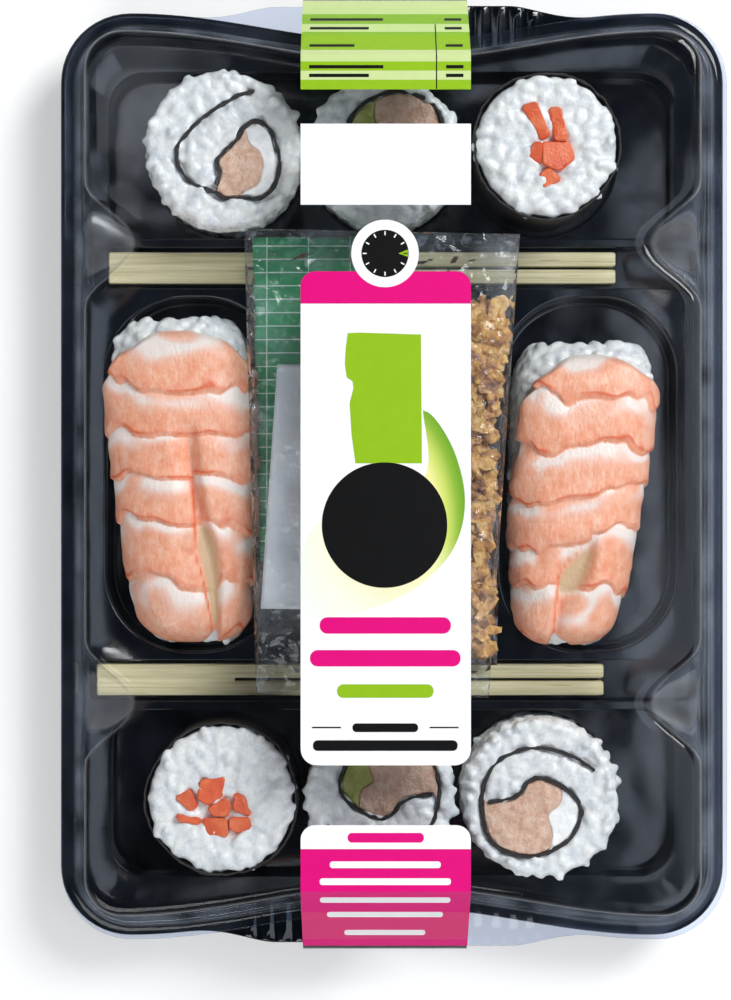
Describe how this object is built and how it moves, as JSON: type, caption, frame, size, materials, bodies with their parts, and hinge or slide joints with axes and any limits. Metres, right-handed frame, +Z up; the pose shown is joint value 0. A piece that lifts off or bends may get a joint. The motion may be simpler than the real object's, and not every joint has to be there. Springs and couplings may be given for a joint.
{
  "type": "takeaway sushi tray",
  "caption": "Shut takeaway sushi pack: black tray, clear lid and printed band, with rolls, prawn nigiri, chopsticks and sachets",
  "frame": {"origin": "the middle of the pack's footprint, on the surface it stands on", "axes": "+Y along the pack, +X across it, +Z up through the lid"},
  "size_m": [0.1442, 0.2044, 0.0336],
  "materials": {
    "black_plastic": "gloss black",
    "clear_plastic": "clear, thermoformed",
    "printed_film": "printed clear film",
    "bamboo": "bare bamboo",
    "fried_onion": "fried onion flakes in clear film",
    "green_film": "printed green film",
    "sauce_film": "film over dark sauce",
    "cooked_rice": "moist cooked rice",
    "cooked_prawn": "moist cooked prawn",
    "seaweed": "dried seaweed sheet",
    "salmon": "moist salmon",
    "cream_cheese": "smooth fresh cheese",
    "avocado": "ripe avocado",
    "carrot": "cooked carrot"
  },
  "bodies": {
    "root": {"tray": "black_plastic", "lid": "clear_plastic", "band": "printed_film", "chopsticks_far": "bamboo", "chopsticks_near": "bamboo", "onion_bag": "fried_onion", "sachet_green": "green_film", "sachet_sauce": "sauce_film", "nigiri_left_rice": "cooked_rice", "nigiri_left_prawn": "cooked_prawn", "nigiri_right_rice": "cooked_rice", "nigiri_right_prawn": "cooked_prawn", "roll_far_left_rice": "cooked_rice", "roll_far_left_nori": "seaweed", "roll_far_left_salmon": "salmon", "roll_far_left_cheese": "cream_cheese", "roll_far_middle_rice": "cooked_rice", "roll_far_middle_nori": "seaweed", "roll_far_middle_salmon": "salmon", "roll_far_middle_avocado": "avocado", "roll_near_middle_rice": "cooked_rice", "roll_near_middle_nori": "seaweed", "roll_near_middle_salmon": "salmon", "roll_near_middle_avocado": "avocado", "roll_near_right_rice": "cooked_rice", "roll_near_right_nori": "seaweed", "roll_near_right_salmon": "salmon", "roll_near_right_cheese": "cream_cheese", "roll_far_right_nori": "seaweed", "roll_far_right_rice": "cooked_rice", "roll_far_right_carrot_1": "carrot", "roll_far_right_carrot_2": "carrot", "roll_far_right_carrot_3": "carrot", "roll_far_right_carrot_4": "carrot", "roll_far_right_carrot_5": "carrot", "roll_near_left_nori": "seaweed", "roll_near_left_rice": "cooked_rice", "roll_near_left_carrot_1": "carrot", "roll_near_left_carrot_2": "carrot", "roll_near_left_carrot_3": "carrot", "roll_near_left_carrot_4": "carrot", "roll_near_left_carrot_5": "carrot", "roll_near_left_carrot_6": "carrot", "roll_near_left_carrot_7": "carrot"}
  },
  "joints": []
}
